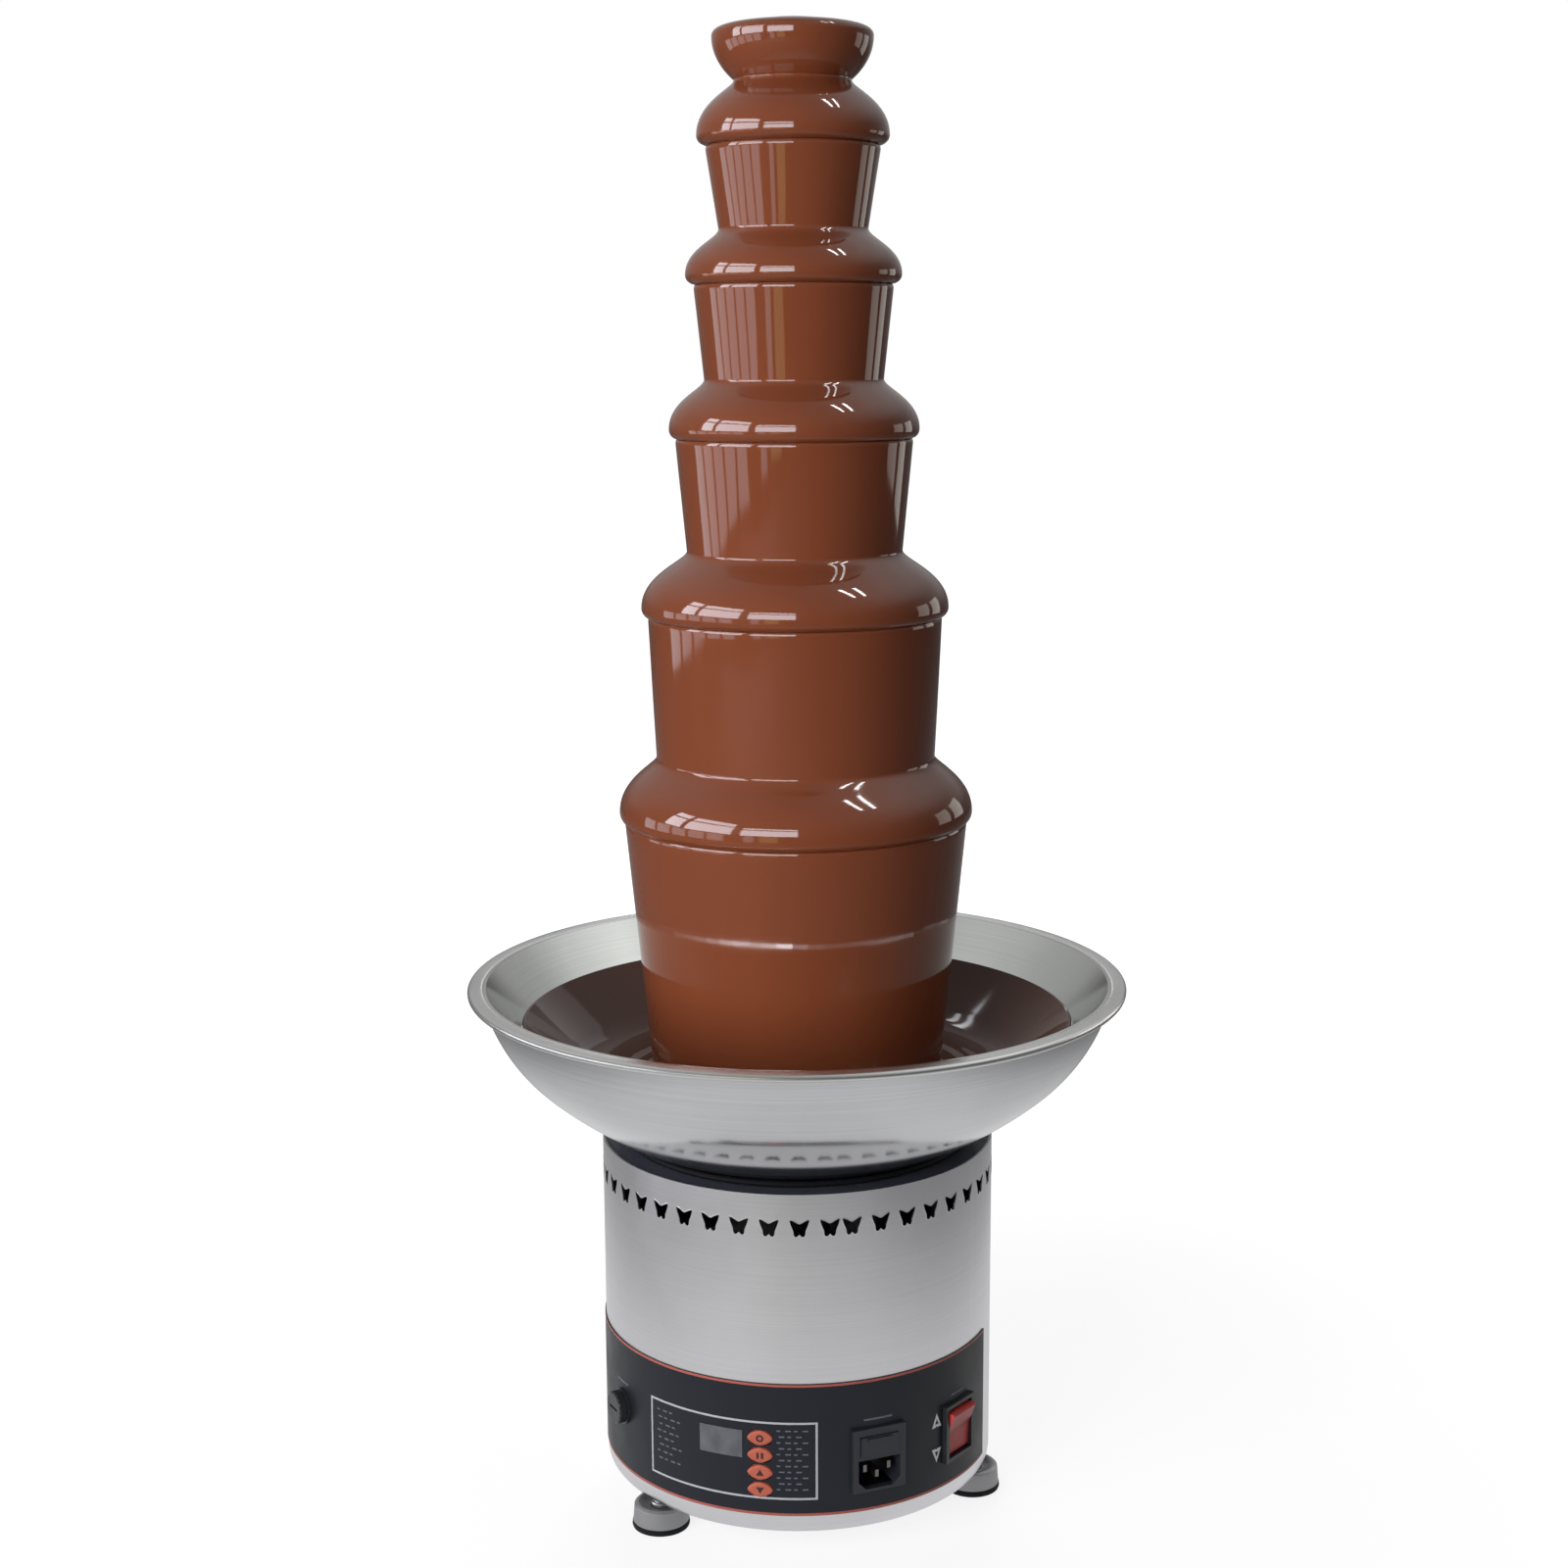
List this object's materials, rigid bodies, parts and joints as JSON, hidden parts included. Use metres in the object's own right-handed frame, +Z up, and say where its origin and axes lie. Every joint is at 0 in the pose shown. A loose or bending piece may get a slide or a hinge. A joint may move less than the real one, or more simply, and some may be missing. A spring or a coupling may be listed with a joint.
{
  "type": "chocolate fountain",
  "caption": "Tiered chocolate fountain: domed tiers on a lift tube round a motor-driven auger, over a heated steel bowl on a vented round base with controls and levelling feet.",
  "frame": {"origin": "on the axis of the tower at the level of the feet", "axes": "+Z up along the tower, -Y towards the mains inlet, +X to the right of it"},
  "size_m": [0.3666, 0.3666, 0.812],
  "materials": {
    "brushed_steel": "satin sheet, fine round grain",
    "plain_steel": "plain pressed sheet",
    "polished_steel": "spun and polished",
    "sole_rubber": "matt moulded",
    "foot_metal": "grey, half gloss",
    "stud_metal": "bright plated",
    "band_dark": "dark slate facing, satin",
    "display_glass": "smoked window",
    "circuit_board": "lacquered",
    "button_orange": "soft satin",
    "black_plastic": "moulded, half gloss",
    "rocker_red": "clear red moulding",
    "fuse_glass": "clear tube",
    "cover_black": "black, satin",
    "heater_alloy": "cast",
    "thermostat_ceramic": "unglazed",
    "motor_grey": "grey enamel",
    "seal_rubber": "silicone",
    "milk_chocolate": "wet, very glossy",
    "pool_chocolate": "wet, very glossy"
  },
  "bodies": {
    "base": {"base_shell": "brushed_steel", "base_plate": "plain_steel", "base_screws": "plain_steel", "foot_nuts": "plain_steel", "bowl_studs": "plain_steel", "bowl_nuts": "plain_steel", "motor_plate": "plain_steel", "bowl": "polished_steel", "bowl_jacket": "polished_steel", "bowl_gasket": "sole_rubber", "inlet_pins": "stud_metal", "control_band": "band_dark", "display_window": "display_glass", "controller_board": "circuit_board", "inlet_housing": "black_plastic", "switch_housing": "black_plastic", "fuse_holder": "black_plastic", "top_cover": "cover_black", "heater_plate": "heater_alloy", "heater_element": "heater_alloy", "thermostat": "thermostat_ceramic", "gearbox": "motor_grey", "motor": "motor_grey", "shaft_seal": "seal_rubber", "chocolate_pool": "pool_chocolate"},
    "tower": {"tower_tube": "polished_steel", "tier_1": "polished_steel", "tier_2": "polished_steel", "tier_3": "polished_steel", "tier_4": "polished_steel", "tier_5": "polished_steel", "crown": "polished_steel", "chocolate_crown": "milk_chocolate", "chocolate_tier_1": "milk_chocolate", "chocolate_tier_2": "milk_chocolate", "chocolate_tier_3": "milk_chocolate", "chocolate_tier_4": "milk_chocolate", "chocolate_tier_5": "milk_chocolate"},
    "auger": {"drive_shaft": "polished_steel", "auger_shaft": "polished_steel", "auger_flight": "polished_steel"},
    "rocker": {"rocker": "rocker_red"},
    "button_1": {"button_1": "button_orange"},
    "button_2": {"button_2": "button_orange"},
    "button_3": {"button_3": "button_orange"},
    "button_4": {"button_4": "button_orange"},
    "fuse_plug": {"fuse_carrier": "black_plastic", "fuse_link": "fuse_glass"},
    "fuse_cap": {"fuse_cap": "black_plastic"},
    "fuse_drawer": {"fuse_drawer": "black_plastic"},
    "foot_1": {"foot_1_sole": "sole_rubber", "foot_1_cup": "foot_metal"},
    "stud_1": {"foot_1_stud": "stud_metal"},
    "foot_2": {"foot_2_sole": "sole_rubber", "foot_2_cup": "foot_metal"},
    "stud_2": {"foot_2_stud": "stud_metal"},
    "foot_3": {"foot_3_sole": "sole_rubber", "foot_3_cup": "foot_metal"},
    "stud_3": {"foot_3_stud": "stud_metal"}
  },
  "joints": [
    {"name": "tower_lift", "type": "slide", "parent": "base", "child": "tower", "axis": [0, 0, 1], "range_m": [0, 0.6]},
    {"name": "auger_spin", "type": "hinge", "parent": "base", "child": "auger", "pos_m": [0, 0, 0.2], "axis": [0, 0, 1], "continuous": true},
    {"name": "rocker_tilt", "type": "hinge", "parent": "base", "child": "rocker", "pos_m": [0.05335, -0.09391, 0.0572], "axis": [-0.8695, -0.4939, 0], "range_deg": [0, 24]},
    {"name": "button_1_press", "type": "slide", "parent": "base", "child": "button_1", "axis": [0.5505, 0.8348, 0], "range_m": [0, 0.0008], "stiffness_N_per_m": 1500},
    {"name": "button_2_press", "type": "slide", "parent": "base", "child": "button_2", "axis": [0.5505, 0.8348, 0], "range_m": [0, 0.0008], "stiffness_N_per_m": 1500},
    {"name": "button_3_press", "type": "slide", "parent": "base", "child": "button_3", "axis": [0.5505, 0.8348, 0], "range_m": [0, 0.0008], "stiffness_N_per_m": 1500},
    {"name": "button_4_press", "type": "slide", "parent": "base", "child": "button_4", "axis": [0.5505, 0.8348, 0], "range_m": [0, 0.0008], "stiffness_N_per_m": 1500},
    {"name": "fuse_draw", "type": "slide", "parent": "base", "child": "fuse_plug", "axis": [-0.9956, -0.0941, 0], "range_m": [0, 0.032]},
    {"name": "fuse_cap_twist", "type": "hinge", "parent": "fuse_plug", "child": "fuse_cap", "pos_m": [-0.10951, -0.01035, 0.0632], "axis": [0.9956, 0.0941, 0], "range_deg": [0, 60]},
    {"name": "drawer_slide", "type": "slide", "parent": "base", "child": "fuse_drawer", "axis": [0, -1, 0], "range_m": [0, 0.018]},
    {"name": "foot_1_level", "type": "slide", "parent": "base", "child": "foot_1", "axis": [0, 0, -1], "range_m": [-0.00125, 0.01]},
    {"name": "stud_1_turn", "type": "hinge", "parent": "foot_1", "child": "stud_1", "pos_m": [-0.09631, -0.03204, 0.016], "axis": [0, 0, -1], "range_deg": [-360, 2880]},
    {"name": "foot_2_level", "type": "slide", "parent": "base", "child": "foot_2", "axis": [0, 0, -1], "range_m": [-0.00125, 0.01]},
    {"name": "stud_2_turn", "type": "hinge", "parent": "foot_2", "child": "stud_2", "pos_m": [0.08253, -0.05908, 0.016], "axis": [0, 0, -1], "range_deg": [-360, 2880]},
    {"name": "foot_3_level", "type": "slide", "parent": "base", "child": "foot_3", "axis": [0, 0, -1], "range_m": [-0.00125, 0.01]},
    {"name": "stud_3_turn", "type": "hinge", "parent": "foot_3", "child": "stud_3", "pos_m": [0.01518, 0.10036, 0.016], "axis": [0, 0, -1], "range_deg": [-360, 2880]}
  ],
  "couplings": [
    {"joint": "stud_1_turn", "follows": "foot_1_level", "rad_per_m": 5026.5},
    {"joint": "stud_2_turn", "follows": "foot_2_level", "rad_per_m": 5026.5},
    {"joint": "stud_3_turn", "follows": "foot_3_level", "rad_per_m": 5026.5}
  ]
}
